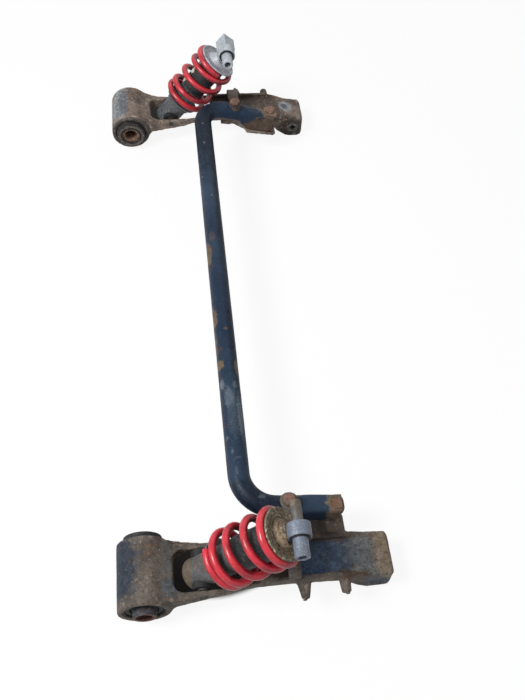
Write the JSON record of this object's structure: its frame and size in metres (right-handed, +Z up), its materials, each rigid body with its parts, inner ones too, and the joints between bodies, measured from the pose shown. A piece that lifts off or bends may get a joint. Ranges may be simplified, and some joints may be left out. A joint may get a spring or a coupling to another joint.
{
  "type": "cab suspension stabiliser with spring dampers",
  "caption": "U-shaped torsion bar joining slotted cast levers with rubber bushed eyes, each lever carrying a spring-over-damper strut on a pivot.",
  "frame": {"origin": "centre of the bounding box's footprint, at its lowest height, where the eyes and hubs rest", "axes": "+Z up, +X from the rubber bushed eyes to the hubs along the levers, +Y along the torsion bar from the near lever to the far one"},
  "size_m": [0.4025, 1.117, 0.209],
  "materials": {
    "bar_paint": "worn dark blue paint over steel, chipped and rusty at its edges",
    "casting": "rusted brown casting with remains of dark blue paint",
    "clamp_casting": "rough grey-brown casting",
    "fastener_steel": "rusted orange-brown steel",
    "bush_steel": "dull steel with brown rust",
    "sleeve_steel": "pale blue-grey steel",
    "plate_metal": "light grey, slightly scuffed",
    "dirty_plate_metal": "brown and dirty, with turned rings",
    "rubber": "matt black rubber",
    "tube_paint": "grey-blue paint, rubbed and rusty",
    "spring_paint": "satin coral red coating",
    "rod_chrome": "polished",
    "dust_plastic": "matt charcoal"
  },
  "bodies": {
    "stabiliser": {"torsion_bar": "bar_paint", "near_lever": "casting", "near_lug_studs": "fastener_steel", "near_eye_shell": "bush_steel", "near_eye_rubber": "rubber", "near_hub_bush": "bush_steel", "near_bar_strap": "clamp_casting", "near_clamp_bolts": "fastener_steel", "near_clamp_pad": "clamp_casting", "near_pivot_pin": "fastener_steel", "far_lever": "casting", "far_lug_studs": "fastener_steel", "far_eye_shell": "bush_steel", "far_eye_rubber": "rubber", "far_hub_bush": "bush_steel", "far_bar_strap": "clamp_casting", "far_clamp_bolts": "fastener_steel", "far_clamp_pad": "clamp_casting", "far_pivot_pin": "fastener_steel"},
    "near_main_sleeve": {"near_eye_sleeve": "bush_steel"},
    "near_damper": {"near_damper_tube": "tube_paint", "near_pivot_bush": "rubber", "near_pivot_sleeve": "bush_steel", "near_lower_seat": "tube_paint", "near_rod_guide": "bush_steel", "near_spring": "spring_paint"},
    "near_rod_top": {"near_rod": "rod_chrome", "near_piston": "bush_steel", "near_upper_plate": "dirty_plate_metal", "near_upper_eye": "sleeve_steel", "near_upper_bush": "rubber", "near_dust_sleeve": "dust_plastic", "near_bump_stop": "rubber"},
    "near_top_sleeve": {"near_upper_sleeve": "sleeve_steel"},
    "far_main_sleeve": {"far_eye_sleeve": "bush_steel"},
    "far_damper": {"far_damper_tube": "tube_paint", "far_pivot_bush": "rubber", "far_pivot_sleeve": "bush_steel", "far_lower_seat": "tube_paint", "far_rod_guide": "bush_steel", "far_spring": "spring_paint"},
    "far_rod_top": {"far_rod": "rod_chrome", "far_piston": "bush_steel", "far_upper_plate": "plate_metal", "far_upper_eye": "plate_metal", "far_upper_bush": "rubber", "far_dust_sleeve": "dust_plastic", "far_bump_stop": "rubber"},
    "far_top_sleeve": {"far_upper_sleeve": "plate_metal"}
  },
  "joints": [
    {"name": "near_main_sleeve_twist", "type": "hinge", "parent": "stabiliser", "child": "near_main_sleeve", "pos_m": [-0.16275, -0.5, 0.0385], "axis": [0, 1, 0], "range_deg": [-25, 25], "stiffness_Nm_per_rad": 4},
    {"name": "near_damper_pivot", "type": "hinge", "parent": "stabiliser", "child": "near_damper", "pos_m": [-0.07875, -0.5, 0.0485], "axis": [0, 1, 0], "range_deg": [-47, 0]},
    {"name": "near_damper_stroke", "type": "slide", "parent": "near_damper", "child": "near_rod_top", "axis": [0.7071, 0, 0.7071], "range_m": [-0.034, 0], "stiffness_N_per_m": 3000, "springref_m": 0.012, "deforming": ["near_spring"]},
    {"name": "near_top_sleeve_twist", "type": "hinge", "parent": "near_rod_top", "child": "near_top_sleeve", "pos_m": [0.05171, -0.5, 0.17896], "axis": [0, 1, 0], "range_deg": [-25, 25], "stiffness_Nm_per_rad": 2},
    {"name": "far_main_sleeve_twist", "type": "hinge", "parent": "stabiliser", "child": "far_main_sleeve", "pos_m": [-0.16275, 0.5, 0.0385], "axis": [0, 1, 0], "range_deg": [-25, 25], "stiffness_Nm_per_rad": 4},
    {"name": "far_damper_pivot", "type": "hinge", "parent": "stabiliser", "child": "far_damper", "pos_m": [-0.07875, 0.5, 0.0485], "axis": [0, 1, 0], "range_deg": [-41.6, 5.4]},
    {"name": "far_damper_stroke", "type": "slide", "parent": "far_damper", "child": "far_rod_top", "axis": [0.6374, 0, 0.7705], "range_m": [-0.034, 0], "stiffness_N_per_m": 3000, "springref_m": 0.012, "deforming": ["far_spring"]},
    {"name": "far_top_sleeve_twist", "type": "hinge", "parent": "far_rod_top", "child": "far_top_sleeve", "pos_m": [0.03886, 0.5, 0.19066], "axis": [0, 1, 0], "range_deg": [-25, 25], "stiffness_Nm_per_rad": 2}
  ]
}
